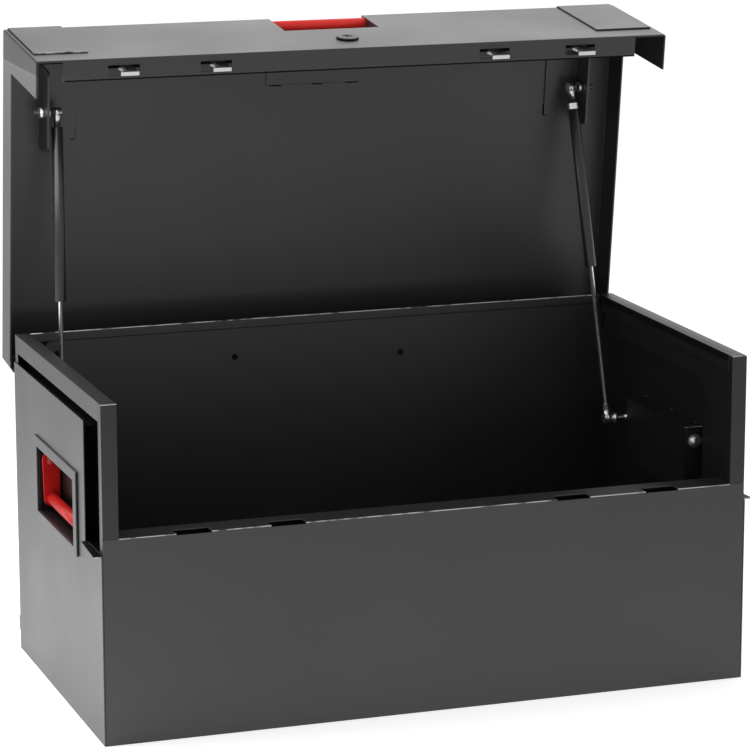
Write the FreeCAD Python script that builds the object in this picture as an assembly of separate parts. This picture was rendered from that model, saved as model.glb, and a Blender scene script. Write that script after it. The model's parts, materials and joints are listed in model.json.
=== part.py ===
import FreeCAD, Part
import math
import os

# Jobsite storage box in folded steel sheet, lid held open by two gas struts.
# Millimetres. The origin is the centre of the base's underside, +X to the right,
# +Y to the rear, +Z up. The lid is drawn closed and then swung open about its hinge.

V = FreeCAD.Vector
X_AXIS, Y_AXIS, Z_AXIS = V(1, 0, 0), V(0, 1, 0), V(0, 0, 1)

# --- body ---
body_width = 861.0
body_depth = 445.0
side_height = 434.0
front_height = 264.5
sheet = 2.0
post_width = 20.5
post_lip = 10.0
rail_lip = 10.0
rear_hem = 12.0
front_flange_depth = 41.0
front_flange_lip = 14.0
floor_lip = 15.0

# --- notches in the front flange, and the hook slots above them ---
inner_hook_place = 191.5
outer_hook_place = 314.0
notch_length = 45.0
notch_depth = 19.0
slot_length = 42.0
slot_width = 13.7
slot_inset = 8.7
slot_shift = -4.0

# --- groove that runs under the side rail and down behind the post ---
groove_depth = 14.0
groove_top_drop = 24.0
groove_band = 24.0
groove_end_margin = 14.5
groove_leg = 82.0
ledge_drop = 20.5
ledge_reach_front = 12.0
ledge_reach_rear = 7.0

# --- outer side panel ---
guard_drop = 37.0
guard_front_margin = 79.5

# --- side handles ---
pocket_length = 188.0
pocket_height = 86.0
pocket_depth = 29.0
pocket_middle_height = 267.5
frame_margin_side = 16.0
frame_margin_top = 13.5
frame_margin_bottom = 10.5
frame_thickness = 3.0
frame_corner = 3.0
handle_pivot_drop = 17.5
handle_drop = 39.0
handle_arm_width = 22.0
handle_arm_thickness = 3.0
handle_arm_inset = 3.0
grip_diameter = 16.0
grip_wall = 1.5
handle_bolt_diameter = 8.0

# --- hinge ---
hinge_drop = 53.5
knuckle_radius = 2.5
knuckle_count = 16
hinge_end_margin = 30.5
hinge_pin_radius = 1.5
hinge_leaf_thickness = 1.0
hinge_leaf_width = 28.0
hinge_wall_gap = 0.3
leaf_knuckle_gap = 0.4
knuckle_end_gap = 0.3

# --- lid ---
lid_open_angle = 83.3
lid_side_gap = 0.6
lid_front_gap = 3.7
lid_rear_gap = 1.5
lid_rest_gap = 1.0
lid_rise = 13.2
rim_depth = 46.0
cheek_width = 48.0
tail_width = 11.0
skirt_knuckle_gap = 2.0
tail_guard_gap = 1.5
tail_wall_gap = 0.5
return_flange_depth = 28.0
return_flange_left_end = 33.0
return_flange_right_end = 42.0
fold_radius = 2.5
end_plate_thickness = 2.0
end_plate_inset = 6.0
left_end_plate_width = 72.0
right_end_plate_width = 79.0
end_plate_rise = 37.5

# --- lid hand recess ---
recess_middle = -3.0
recess_length = 132.0
recess_rise = 109.5
recess_back = 54.5
tray_flange_back = 37.0
tray_flange_front = 12.0
lid_grip_inset = 9.0
lid_grip_drop = 12.5

# --- lock and hooks ---
lock_rise = 54.0
escutcheon_radius = 15.0
escutcheon_thickness = 3.0
lock_barrel_radius = 11.0
lock_barrel_depth = 14.0
plug_radius = 6.95
plug_recess = 0.6
key_slot_length = 8.0
key_slot_width = 1.8
key_slot_depth = 4.0
cam_thickness = 3.0
cam_pin_radius = 2.5
cam_edge = 2.5
cam_clearance = 0.5
hook_travel = 16.0
hook_bar_end = 31.0
hook_bar_height = 20.0
hook_bar_thickness = 3.0
hook_bar_drop = 24.0
hook_bar_tab_width = 40.0
hook_bar_tab_height = 30.0
hook_thickness = 5.0
hook_back_margin = 2.5
hook_width = 14.0
hook_shift = 5.5
hook_reach = 13.5
hook_foot = 10.0
hook_foot_height = 5.0
guide_gap = 0.5
hook_rivet_radius = 3.0
guide_places = (110.0, 252.0)
guide_width = 20.0

# --- gas struts and their brackets ---
strut_ball_inset = 64.5
strut_ball_forward = 345.2
strut_ball_drop = 23.7
strut_foot_inset = 41.5
strut_foot_forward = 89.5
strut_foot_drop = 159.0
ball_radius = 5.0
ball_clearance = 0.3
ball_neck_radius = 3.0
socket_radius = 6.5
socket_half_length = 5.5
socket_shank_radius = 4.5
socket_mouth_radius = 4.4
cylinder_start = 20.0
cylinder_length = 230.0
cylinder_radius = 7.5
cylinder_wall = 1.0
cylinder_end_wall = 6.0
strut_rod_radius = 3.0
piston_length = 6.0
rod_end_length = 20.0
foot_stud_gap = 0.3
bracket_thickness = 3.0
bracket_web_gap = 15.0
bracket_flange_width = 48.0
bracket_web_depth = 44.5
bracket_lead = 60.0
bracket_length = 115.0
bracket_web_slant = 6.0
bracket_flange_length = 103.0
bracket_corner = 8.0
stud_thread_radius = 4.0
stud_end_reach = 13.0
nut_flats = 13.0
nut_thickness = 6.5
collar_thickness = 5.0

# --- fixings and running fits ---
fixing_hole_radius = 5.5
fixing_spacing_x = 600.0
fixing_spacing_y = 300.0
lug_reach = 14.0
lug_height = 22.0
lug_base = 22.0
lug_thickness = 3.0
running_fit = 0.05
side_play = 0.3

# --- places worked out from the sizes above ---
half_width = body_width / 2
half_depth = body_depth / 2
panel_face = half_width + sheet
frame_face = panel_face + frame_thickness
guard_front = -half_depth + guard_front_margin
groove_floor_x = half_width - groove_depth
groove_end = half_depth - groove_end_margin
groove_top = side_height - groove_top_drop
ledge_height = front_height - ledge_drop
guard_height = side_height - guard_drop
hinge_height = side_height - hinge_drop
hinge_length = body_width - 2 * hinge_end_margin
hinge_y = half_depth + knuckle_radius + hinge_wall_gap
hinge_line = V(0, hinge_y, hinge_height)
lid_closed_height = side_height + lid_rise
lid_half_inner = half_width + lid_side_gap
lid_half_outer = lid_half_inner + sheet
lid_front = -half_depth - lid_front_gap - sheet
lid_rear = half_depth + lid_rear_gap + sheet
lid_base = front_height + lid_rest_gap
lid_front_inner = lid_front + sheet
lid_top_inner = lid_closed_height - sheet
recess_span = (recess_middle - recess_length / 2, recess_middle + recess_length / 2)
recess_base = lid_base + recess_rise
lock_height = lid_base + lock_rise
pivot_height = pocket_middle_height + pocket_height / 2 - handle_pivot_drop
pivot_x = panel_face - pocket_depth + sheet / 2 + handle_arm_width / 2 + sheet / 2
hook_places = (-outer_hook_place, -inner_hook_place, inner_hook_place, outer_hook_place)
hook_rest_shift = hook_travel / 2
cam_radius = hook_travel / math.sqrt(2)
slot_front = lid_front + slot_inset
slot_back = slot_front + slot_width
hook_back = slot_back - hook_back_margin
bar_front = hook_back
bar_back = bar_front + hook_bar_thickness
hook_bar_base = lock_height - hook_bar_drop
hook_bar_length = 2 * (outer_hook_place + hook_bar_end)
bracket_web_offset = half_width - strut_ball_inset + bracket_web_gap


def block(x, y, z):
    """A box from three (low, high) pairs."""
    return Part.makeBox(x[1] - x[0], y[1] - y[0], z[1] - z[0], V(x[0], y[0], z[0]))


def rod(radius, start, end):
    """A solid cylinder between two points."""
    return Part.makeCylinder(radius, (end - start).Length, start, end - start)


def tube(outer, inner, start, end):
    return rod(outer, start, end).cut(rod(inner, start, end))


def prism(points, along):
    """A closed outline pushed along a vector."""
    return Part.Face(Part.makePolygon(points + points[:1])).extrude(along)


def hexagon_x(flats, x_start, x_end, y, z):
    """A hexagonal nut or collar with its axis along X."""
    corner = flats / math.sqrt(3)
    turns = [math.radians(60 * step) for step in range(6)]
    outline = [V(x_start, y + corner * math.cos(a), z + corner * math.sin(a)) for a in turns]
    return prism(outline, V(x_end - x_start, 0, 0))


def hexagon_y(flats, y_start, y_end, x, z):
    """A hexagonal nut or bolt head with its axis along Y, two flats facing X."""
    corner = flats / math.sqrt(3)
    turns = [math.radians(60 * step + 30) for step in range(6)]
    outline = [V(x + corner * math.cos(a), y_start, z + corner * math.sin(a)) for a in turns]
    return prism(outline, V(0, y_end - y_start, 0))


def joined(pieces):
    """Fold several overlapping or touching pieces of one sheet into one solid."""
    return pieces[0].multiFuse(pieces[1:]).removeSplitter()


def mirrored(shape):
    """The left-hand copy of a right-hand piece."""
    return shape.mirror(V(0, 0, 0), X_AXIS)


def swung_open(shape):
    """Move a piece drawn on the closed lid to the open lid."""
    turned = shape.copy()
    turned.rotate(hinge_line, X_AXIS, -lid_open_angle)
    return turned


def swung_point(point):
    turn = math.radians(-lid_open_angle)
    y, z = point.y - hinge_y, point.z - hinge_height
    return V(point.x, hinge_y + y * math.cos(turn) - z * math.sin(turn),
             hinge_height + y * math.sin(turn) + z * math.cos(turn))


def save(name, shape):
    shape.exportStep("parts/" + name + ".step")


def save_pair(name, right_shape):
    save("right_" + name, right_shape)
    save("left_" + name, mirrored(right_shape))


# ---------------------------------------------------------------- body panels
def front_panel():
    """Front sheet with a return flange, its lip, and four notches for the hooks."""
    flange_half = groove_floor_x - sheet
    back = -half_depth + front_flange_depth
    plate = block((-half_width, half_width), (-half_depth, -half_depth + sheet), (0, front_height))
    flange = block((-flange_half, flange_half), (-half_depth, back),
                   (front_height - sheet, front_height))
    lip = block((-flange_half, flange_half), (back - sheet, back),
                (front_height - front_flange_lip, front_height))
    panel = joined([plate, flange, lip])
    for place in hook_places:
        notch = block((place - notch_length / 2, place + notch_length / 2),
                      (-half_depth - sheet, -half_depth + notch_depth),
                      (front_height - sheet, front_height + sheet))
        panel = panel.cut(notch)
    return panel


def front_post():
    """Right post: a narrow channel with a cap, standing on the front panel."""
    inner = half_width - post_width
    lip_back = -half_depth + post_lip
    height = (front_height, side_height)
    face = block((inner, half_width), (-half_depth, -half_depth + sheet), height)
    outer_lip = block((half_width - sheet, half_width), (-half_depth, lip_back), height)
    inner_lip = block((inner, inner + sheet), (-half_depth, lip_back), height)
    cap = block((inner, half_width), (-half_depth, lip_back), (side_height - sheet, side_height))
    return joined([face, outer_lip, inner_lip, cap])


def groove_shape(margin):
    """The groove's L: a band under the rail and a leg behind the post."""
    front = -groove_end - margin
    inner_x = groove_floor_x - margin
    band_floor = groove_top - groove_band - margin
    top = groove_top + margin
    leg_back = -groove_end + groove_leg + margin
    reach = (inner_x, half_width)
    band = block(reach, (front, groove_end + margin), (band_floor, top))
    leg = block(reach, (front, leg_back), (ledge_height - margin, top))
    return joined([band, leg])


def pocket_cut():
    half = pocket_length / 2 + sheet
    rise = pocket_height / 2 + sheet
    return block((half_width - pocket_depth, frame_face), (-half, half),
                 (pocket_middle_height - rise, pocket_middle_height + rise))


def side_wall():
    """Right inner wall: plate, top rail with its lip, and the liner of the groove."""
    wall_x = (half_width - sheet, half_width)
    rear = half_depth - sheet
    lower = block(wall_x, (-half_depth + sheet, rear), (0, front_height))
    upper = block(wall_x, (-half_depth + post_lip, rear), (0, side_height))
    rail_inner = half_width - post_width
    rail = block((rail_inner, half_width), (-half_depth + post_lip, rear),
                 (side_height - sheet, side_height))
    lip = block((rail_inner, rail_inner + sheet), (-half_depth + post_lip, rear),
                (side_height - rail_lip, side_height))
    wall = joined([lower, upper, rail, lip])
    liner = groove_shape(sheet).cut(groove_shape(0))
    wall = wall.cut(groove_shape(sheet)).fuse(liner).removeSplitter()
    return wall.cut(pocket_cut())


def rear_wall():
    """Rear sheet with its top edge folded down inside as a hem."""
    plate = block((-half_width, half_width), (half_depth - sheet, half_depth), (0, side_height))
    hem_half = half_width - post_width
    hem = block((-hem_half, hem_half), (half_depth - 2 * sheet, half_depth - sheet),
                (side_height - rear_hem, side_height))
    return joined([plate, hem])


def floor_pan():
    """Floor tray with upturned edges and four holes for bolting the box down."""
    outer_x, outer_y = half_width - sheet, half_depth - sheet
    tray = block((-outer_x, outer_x), (-outer_y, outer_y), (0, floor_lip))
    hollow = block((-outer_x + sheet, outer_x - sheet), (-outer_y + sheet, outer_y - sheet),
                   (sheet, floor_lip + sheet))
    pan = tray.cut(hollow)
    for x in (-fixing_spacing_x / 2, fixing_spacing_x / 2):
        for y in (-fixing_spacing_y / 2, fixing_spacing_y / 2):
            pan = pan.cut(rod(fixing_hole_radius, V(x, y, -sheet), V(x, y, 2 * sheet)))
    return pan


def side_panel():
    """Right outer panel: low at the front, rising to the guard behind the cut-out."""
    face_y = (-half_depth, half_depth)
    lower = block((half_width, panel_face), face_y, (0, ledge_height - sheet))
    guard = block((half_width, panel_face), (guard_front, half_depth), (0, guard_height))
    return joined([lower, guard]).cut(pocket_cut())


def rest_ledge():
    """Right ledge: the foot of the groove, standing out past the side panel."""
    base = ledge_height - sheet
    outline = [V(half_width, -half_depth, base),
               V(half_width + ledge_reach_front, -half_depth, base),
               V(half_width + ledge_reach_rear, guard_front, base),
               V(half_width, guard_front, base)]
    return prism(outline, V(0, 0, sheet))


def rear_lugs():
    """Two small ears at the foot of the rear wall."""
    ear = block((half_width - lug_thickness, half_width), (half_depth, half_depth + lug_reach),
                (lug_base, lug_base + lug_height))
    corners = [edge for edge in ear.Edges
               if abs(edge.CenterOfMass.y - half_depth - lug_reach) < running_fit
               and edge.Length < lug_thickness + running_fit]
    ear = ear.makeFillet(lug_height / 4, corners)
    return Part.makeCompound([ear, mirrored(ear)])


# -------------------------------------------------------------- side handles
def handle_pocket():
    """Right recessed tray, open outwards."""
    half, rise = pocket_length / 2, pocket_height / 2
    low, high = pocket_middle_height - rise, pocket_middle_height + rise
    back = panel_face - pocket_depth
    shell = block((back - sheet, panel_face), (-half - sheet, half + sheet),
                  (low - sheet, high + sheet))
    hollow = block((back, frame_face), (-half, half), (low, high))
    tray = shell.cut(hollow)
    bolt_line = rod(handle_bolt_diameter / 2 + running_fit, V(pivot_x, -pocket_length, pivot_height),
                    V(pivot_x, pocket_length, pivot_height))
    return tray.cut(bolt_line)


def pocket_frame():
    """Raised plate round the mouth of the right pocket."""
    half, rise = pocket_length / 2, pocket_height / 2
    low, high = pocket_middle_height - rise, pocket_middle_height + rise
    plate = block((panel_face, frame_face), (-half - frame_margin_side, half + frame_margin_side),
                  (low - frame_margin_bottom, high + frame_margin_top))
    corners = [edge for edge in plate.Edges if abs(edge.Length - frame_thickness) < running_fit]
    plate = plate.makeFillet(frame_corner, corners)
    return plate.cut(block((half_width, frame_face + sheet), (-half, half), (low, high)))


def handle_arm(y_start):
    """One red arm: a flat plate with round ends, bored for its pivot bolt."""
    radius = handle_arm_width / 2
    foot_z = pivot_height - handle_drop
    along = V(0, handle_arm_thickness, 0)
    top = rod(radius, V(pivot_x, y_start, pivot_height), V(pivot_x, y_start, pivot_height) + along)
    foot = rod(radius, V(pivot_x, y_start, foot_z), V(pivot_x, y_start, foot_z) + along)
    web = block((pivot_x - radius, pivot_x + radius), (y_start, y_start + handle_arm_thickness),
                (foot_z, pivot_height))
    bore = rod(handle_bolt_diameter / 2 + running_fit, V(pivot_x, y_start - sheet, pivot_height),
               V(pivot_x, y_start + handle_arm_thickness + sheet, pivot_height))
    return joined([top, foot, web]).cut(bore)


def arm_outer_face():
    return pocket_length / 2 - handle_arm_inset


def handle_arms():
    far = arm_outer_face() - handle_arm_thickness
    return Part.makeCompound([handle_arm(far), handle_arm(-far - handle_arm_thickness)])


def handle_grip():
    """Red tube welded between the two arms."""
    reach = arm_outer_face() - handle_arm_thickness
    foot_z = pivot_height - handle_drop
    radius = grip_diameter / 2
    return tube(radius, radius - grip_wall, V(pivot_x, -reach, foot_z), V(pivot_x, reach, foot_z))


def handle_bolt(side):
    """Bolt from inside the pocket, spacer ring, and nut on the outside of the end wall."""
    radius = handle_bolt_diameter / 2
    arm_in = arm_outer_face() - handle_arm_thickness - side_play
    wall_out = pocket_length / 2 + sheet
    nut_end = wall_out + nut_thickness

    def at(y):
        return V(pivot_x, side * y, pivot_height)

    head = hexagon_y(nut_flats, side * (arm_in - collar_thickness), side * arm_in,
                     pivot_x, pivot_height)
    shank = rod(radius, at(arm_in - side_play), at(nut_end + sheet))
    ring = rod(nut_flats / 2, at(arm_outer_face() + side_play), at(pocket_length / 2))
    nut = hexagon_y(nut_flats, side * wall_out, side * nut_end, pivot_x, pivot_height)
    return joined([head, shank, ring, nut])


def handle_bolts():
    return Part.makeCompound([handle_bolt(1), handle_bolt(-1)])


# --------------------------------------------------------------------- hinge
def knuckle_spans(first):
    """Every second knuckle along the hinge, from the first or the second one."""
    pitch = hinge_length / knuckle_count
    starts = [-hinge_length / 2 + pitch * step for step in range(first, knuckle_count, 2)]
    return [(start + knuckle_end_gap, start + pitch - knuckle_end_gap) for start in starts]


def bored(shape):
    reach = hinge_length
    return shape.cut(rod(hinge_pin_radius + running_fit, V(-reach, hinge_y, hinge_height),
                         V(reach, hinge_y, hinge_height)))


def hinge_body_leaf():
    """Leaf welded to the outside of the rear wall, with its knuckles."""
    top = hinge_height - knuckle_radius - leaf_knuckle_gap
    back = half_depth + hinge_leaf_thickness
    pieces = [block((-hinge_length / 2, hinge_length / 2), (half_depth, back),
                    (hinge_height - hinge_leaf_width, top))]
    for span in knuckle_spans(0):
        pieces.append(rod(knuckle_radius, V(span[0], hinge_y, hinge_height),
                          V(span[1], hinge_y, hinge_height)))
        pieces.append(block(span, (half_depth, back), (top, hinge_height)))
    return bored(joined(pieces))


def hinge_lid_leaf():
    """Leaf welded to the inside of the lid's rear skirt, with its knuckles."""
    base = hinge_height + knuckle_radius + leaf_knuckle_gap
    face = lid_rear - sheet
    front = face - hinge_leaf_thickness
    pieces = [block((-hinge_length / 2, hinge_length / 2), (front, face),
                    (base, hinge_height + hinge_leaf_width))]
    for span in knuckle_spans(1):
        pieces.append(rod(knuckle_radius, V(span[0], hinge_y, hinge_height),
                          V(span[1], hinge_y, hinge_height)))
        pieces.append(block(span, (front, face), (hinge_height, base)))
    return bored(joined(pieces))


def hinge_pin():
    reach = hinge_length / 2
    return rod(hinge_pin_radius, V(-reach, hinge_y, hinge_height), V(reach, hinge_y, hinge_height))


# ----------------------------------------------------------------------- lid
def rounded_block(x, y, z, radius):
    """A box whose folds are rounded: all edges but the two at the rear of its base."""
    box = block(x, y, z)
    folds = []
    for edge in box.Edges:
        middle = edge.CenterOfMass
        at_base = abs(middle.z - z[0]) < running_fit
        at_front = abs(middle.y - y[0]) < running_fit
        if at_base and not at_front:
            continue
        folds.append(edge)
    return box.makeFillet(radius, folds)


def lid_shell():
    """Top, front flap, side rims, cheeks, rear skirt and the slotted return flange."""
    outer = rounded_block((-lid_half_outer, lid_half_outer), (lid_front, lid_rear),
                          (lid_base, lid_closed_height), fold_radius)
    inner = rounded_block((-lid_half_inner, lid_half_inner), (lid_front_inner, lid_rear - sheet),
                          (lid_base + sheet, lid_top_inner), fold_radius - sheet)
    shell = outer.cut(inner)
    wide = (-lid_half_outer - sheet, lid_half_outer + sheet)
    rim_base = lid_closed_height - rim_depth
    cheek_back = lid_front + cheek_width
    tail_front = lid_rear - tail_width
    skirt_base = hinge_height + knuckle_radius + skirt_knuckle_gap
    below = lid_base - sheet
    flange_back = lid_front + return_flange_depth
    flange_left = -lid_half_inner + return_flange_left_end
    flange_right = lid_half_inner - return_flange_right_end
    cuts = [block(wide, (cheek_back, tail_front), (below, rim_base)),
            block(wide, (cheek_back, half_depth + tail_wall_gap), (below, guard_height + tail_guard_gap)),
            block(wide, (cheek_back, lid_rear + sheet), (below, skirt_base)),
            block((-lid_half_inner, lid_half_inner), (flange_back, cheek_back + sheet),
                  (below, lid_base + sheet))]
    for ends in ((-lid_half_inner, flange_left), (flange_right, lid_half_inner)):
        cuts.append(block(ends, (lid_front_inner, flange_back), (below, lid_base + sheet)))
    for place in hook_places:
        middle = place + slot_shift
        cuts.append(block((middle - slot_length / 2, middle + slot_length / 2),
                          (slot_front, slot_back), (below, lid_base + 2 * sheet)))
    cuts.append(block(recess_span, (lid_front - sheet, lid_front + recess_back),
                      (recess_base, lid_closed_height + sheet)))
    cuts.append(rod(lock_barrel_radius, V(0, lid_front - sheet, lock_height),
                    V(0, lid_front + 2 * sheet, lock_height)))
    return shell.cut(cuts)


def end_plate(side, width):
    """Raised plate over one end of the lid's top and flap."""
    outer = lid_half_outer - end_plate_inset
    span = sorted((side * (outer - width), side * outer))
    front = lid_front - end_plate_thickness
    top = lid_closed_height + end_plate_thickness
    solid = block(span, (front, lid_rear), (lid_base + end_plate_rise, top))
    fold = [edge for edge in solid.Edges
            if abs(edge.CenterOfMass.y - front) < running_fit
            and abs(edge.CenterOfMass.z - top) < running_fit]
    solid = solid.makeFillet(fold_radius + end_plate_thickness, fold)
    core = block((span[0] - sheet, span[1] + sheet), (lid_front, lid_rear + sheet),
                 (lid_base, lid_closed_height))
    inner_fold = [edge for edge in core.Edges
                  if abs(edge.CenterOfMass.y - lid_front) < running_fit
                  and abs(edge.CenterOfMass.z - lid_closed_height) < running_fit]
    return solid.cut(core.makeFillet(fold_radius, inner_fold))


def handle_tray():
    """Folded tray behind the hand recess, welded to the lid's inner faces."""
    left, right = recess_span[0] - sheet, recess_span[1] + sheet
    back = lid_front + recess_back
    lip_back = lid_front_inner + sheet
    front_lip = block((left, right), (lid_front_inner, lip_back),
                      (recess_base - tray_flange_front, recess_base))
    slope = prism([V(left, lid_front_inner, recess_base - sheet), V(left, lid_front_inner, recess_base),
                   V(left, back, lid_top_inner), V(left, back + sheet, lid_top_inner),
                   V(left, back + sheet, lid_top_inner - sheet),
                   V(left, lip_back, recess_base - sheet)], V(right - left, 0, 0))
    top_flange = block((left, right), (back, back + tray_flange_back),
                       (lid_top_inner - sheet, lid_top_inner))
    pieces = [front_lip, slope, top_flange]
    for start in (left, right - sheet):
        pieces.append(prism([V(start, lid_front_inner, recess_base - sheet),
                             V(start, lid_front_inner, lid_top_inner),
                             V(start, back, lid_top_inner)], V(sheet, 0, 0)))
    return joined(pieces)


def lid_grip():
    """Red grip tube across the hand recess, held by the tray's end walls."""
    y = lid_front + lid_grip_inset
    z = lid_closed_height - lid_grip_drop
    radius = grip_diameter / 2
    return tube(radius, radius - grip_wall, V(recess_span[0], y, z), V(recess_span[1], y, z))


# ---------------------------------------------------------------------- lock
def lock_housing():
    """Round escutcheon in front of the flap, barrel behind it."""
    front = lid_front - escutcheon_thickness
    disc = rod(escutcheon_radius, V(0, front, lock_height), V(0, lid_front, lock_height))
    rim = [edge for edge in disc.Edges if abs(edge.CenterOfMass.y - front) < running_fit]
    disc = disc.makeFillet(escutcheon_thickness / 2, rim)
    barrel = rod(lock_barrel_radius, V(0, lid_front, lock_height),
                 V(0, lid_front_inner + lock_barrel_depth, lock_height))
    bore = rod(plug_radius + running_fit, V(0, front - sheet, lock_height),
               V(0, 0, lock_height))
    return joined([disc, barrel]).cut(bore)


def lock_plug():
    """Key plug with its slot; the cam and its pin are on its rear end."""
    front = lid_front - escutcheon_thickness + plug_recess
    back = bar_front - cam_clearance
    plug = rod(plug_radius, V(0, front, lock_height), V(0, back - cam_thickness, lock_height))
    key_slot = block((-key_slot_width / 2, key_slot_width / 2), (front - sheet, front + key_slot_depth),
                     (lock_height - key_slot_length / 2, lock_height + key_slot_length / 2))
    return plug.cut(key_slot)


def lock_cam():
    """Short lever whose pin stands in the bar's slot."""
    back = bar_front - cam_clearance
    start = back - cam_thickness
    pin_x = cam_radius * math.sin(math.radians(45))
    pin_z = lock_height - cam_radius * math.cos(math.radians(45))
    hub = rod(plug_radius, V(0, start, lock_height), V(0, back, lock_height))
    tip = rod(cam_pin_radius + cam_edge, V(pin_x, start, pin_z), V(pin_x, back, pin_z))
    pin = rod(cam_pin_radius, V(pin_x, start, pin_z),
              V(pin_x, bar_back + cam_clearance, pin_z))
    return joined([hub, tip, pin])


def hook_bar():
    """Long flat bar that slides behind the flap and carries the hooks."""
    shift = hook_rest_shift
    bar = block((shift - hook_bar_length / 2, shift + hook_bar_length / 2), (bar_front, bar_back),
                (hook_bar_base, hook_bar_base + hook_bar_height))
    tab = block((shift - hook_bar_tab_width / 2, shift + hook_bar_tab_width / 2),
                (bar_front, bar_back), (hook_bar_base, hook_bar_base + hook_bar_tab_height))
    slot_half = cam_pin_radius + cam_clearance * 2
    slot_low = lock_height - cam_radius - slot_half
    slot = block((shift - slot_half, shift + slot_half), (bar_front - sheet, bar_back + sheet),
                 (slot_low, lock_height - cam_radius * math.cos(math.radians(45)) + slot_half))
    return joined([bar, tab]).cut(slot)


def lock_hooks():
    """Four hooks riveted to the bar; each passes its slot and ends in a foot."""
    front = hook_back - hook_thickness
    tip = lid_base - hook_reach
    hooks = []
    for place in hook_places:
        middle = place + hook_shift
        left, right = middle - hook_width / 2, middle + hook_width / 2
        shank = block((left, right), (front, hook_back), (tip, hook_bar_base + hook_bar_height))
        foot = block((left - hook_foot, right), (front, hook_back), (tip, tip + hook_foot_height))
        rivet_z = hook_bar_base + hook_bar_height / 2
        rivet = rod(hook_rivet_radius, V(middle, front - sheet, rivet_z), V(middle, front, rivet_z))
        hooks.append(joined([shank, foot, rivet]))
    return Part.makeCompound(hooks)


def hook_bar_guides():
    """Bridges on the back of the flap that carry the sliding bar."""
    gap = guide_gap
    low = hook_bar_base - gap - sheet
    high = hook_bar_base + hook_bar_height + gap + sheet
    back = bar_back + gap + sheet
    guides = []
    for place in guide_places:
        for middle in (-place, place):
            span = (middle - guide_width / 2, middle + guide_width / 2)
            bridge = block(span, (lid_front_inner, back), (low, high))
            hollow = block((span[0] - sheet, span[1] + sheet), (lid_front_inner - sheet, back - sheet),
                           (low + sheet, high - sheet))
            guides.append(bridge.cut(hollow))
    return Part.makeCompound(guides)


# ----------------------------------------------------------------- gas struts
def lid_ball():
    """Middle of the right upper ball on the closed lid."""
    return V(half_width - strut_ball_inset, hinge_y - strut_ball_forward, lid_top_inner - strut_ball_drop)


def strut_bracket():
    """Right angle bracket under the lid, drilled for the ball stud."""
    ball = lid_ball()
    web_x = (bracket_web_offset, bracket_web_offset + bracket_thickness)
    front = ball.y - bracket_lead
    end = front + bracket_length
    low = lid_top_inner - bracket_web_depth
    web = prism([V(web_x[0], front, lid_top_inner), V(web_x[0], front, low),
                 V(web_x[0], end - bracket_web_slant, low), V(web_x[0], end, lid_top_inner)],
                V(bracket_thickness, 0, 0))
    tips = [edge for edge in web.Edges
            if abs(edge.CenterOfMass.z - low) < running_fit
            and edge.Length < bracket_thickness + running_fit]
    web = web.makeFillet(bracket_corner, tips)
    flange = block((web_x[1] - bracket_flange_width, web_x[1]),
                   (front, front + bracket_flange_length),
                   (lid_top_inner - bracket_thickness, lid_top_inner))
    hole = rod(stud_thread_radius + running_fit, V(web_x[0] - sheet, ball.y, ball.z),
               V(web_x[1] + sheet, ball.y, ball.z))
    return joined([web, flange]).cut(hole)


def lid_ball_stud():
    """Right upper stud: ball, neck, hexagonal collar, thread and nut."""
    ball = lid_ball()
    web_in = bracket_web_offset
    web_out = web_in + bracket_thickness

    def at(x):
        return V(x, ball.y, ball.z)

    pieces = [Part.makeSphere(ball_radius, ball),
              rod(ball_neck_radius, ball, at(web_in)),
              hexagon_x(nut_flats, web_in - collar_thickness, web_in, ball.y, ball.z),
              rod(stud_thread_radius, at(web_in), at(web_out + stud_end_reach)),
              hexagon_x(nut_flats, web_out, web_out + nut_thickness, ball.y, ball.z)]
    return joined(pieces)


def strut_foot():
    return V(half_width - strut_foot_inset, hinge_y - strut_foot_forward, side_height - strut_foot_drop)


def strut_head():
    return swung_point(lid_ball())


def strut_line(distance):
    """A point on the right strut's line, measured down from the upper ball."""
    head, foot = strut_head(), strut_foot()
    return head + (foot - head).normalize() * distance


def strut_length():
    return (strut_foot() - strut_head()).Length


def strut_top_socket():
    """Socket that holds the upper ball, with the shank that enters the cylinder."""
    head = strut_head()
    half = V(socket_half_length, 0, 0)
    body = rod(socket_radius, head - half, head + half)
    shank = rod(socket_shank_radius, strut_line(ball_radius), strut_line(cylinder_start))
    seat = Part.makeSphere(ball_radius + ball_clearance, head, X_AXIS)
    mouth = rod(socket_mouth_radius, head, head + half * 2)
    return joined([body, shank]).cut(joined([seat, mouth]))


def strut_cylinder():
    """Painted pressure tube with a closed head and a bored rod guide."""
    start, end = cylinder_start, cylinder_start + cylinder_length
    body = rod(cylinder_radius, strut_line(start), strut_line(end))
    chamber = rod(cylinder_radius - cylinder_wall, strut_line(start + cylinder_end_wall),
                  strut_line(end - cylinder_end_wall))
    guide = rod(strut_rod_radius + running_fit, strut_line(start + cylinder_end_wall),
                strut_line(end + sheet))
    return body.cut(chamber).cut(guide)


def strut_rod():
    """Bright rod with its piston."""
    top = cylinder_start + cylinder_length - cylinder_end_wall - 2 * piston_length
    shaft = rod(strut_rod_radius, strut_line(top), strut_line(strut_length() - rod_end_length))
    piston = rod(cylinder_radius - cylinder_wall - running_fit, strut_line(top),
                 strut_line(top + piston_length))
    return joined([shaft, piston])


def strut_foot_socket():
    """Lower socket on the rod's end."""
    foot = strut_foot()
    half = V(socket_half_length, 0, 0)
    length = strut_length()
    body = rod(socket_radius, foot - half, foot + half)
    shank = rod(socket_shank_radius, strut_line(length - rod_end_length), strut_line(length))
    return joined([body, shank])


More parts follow.
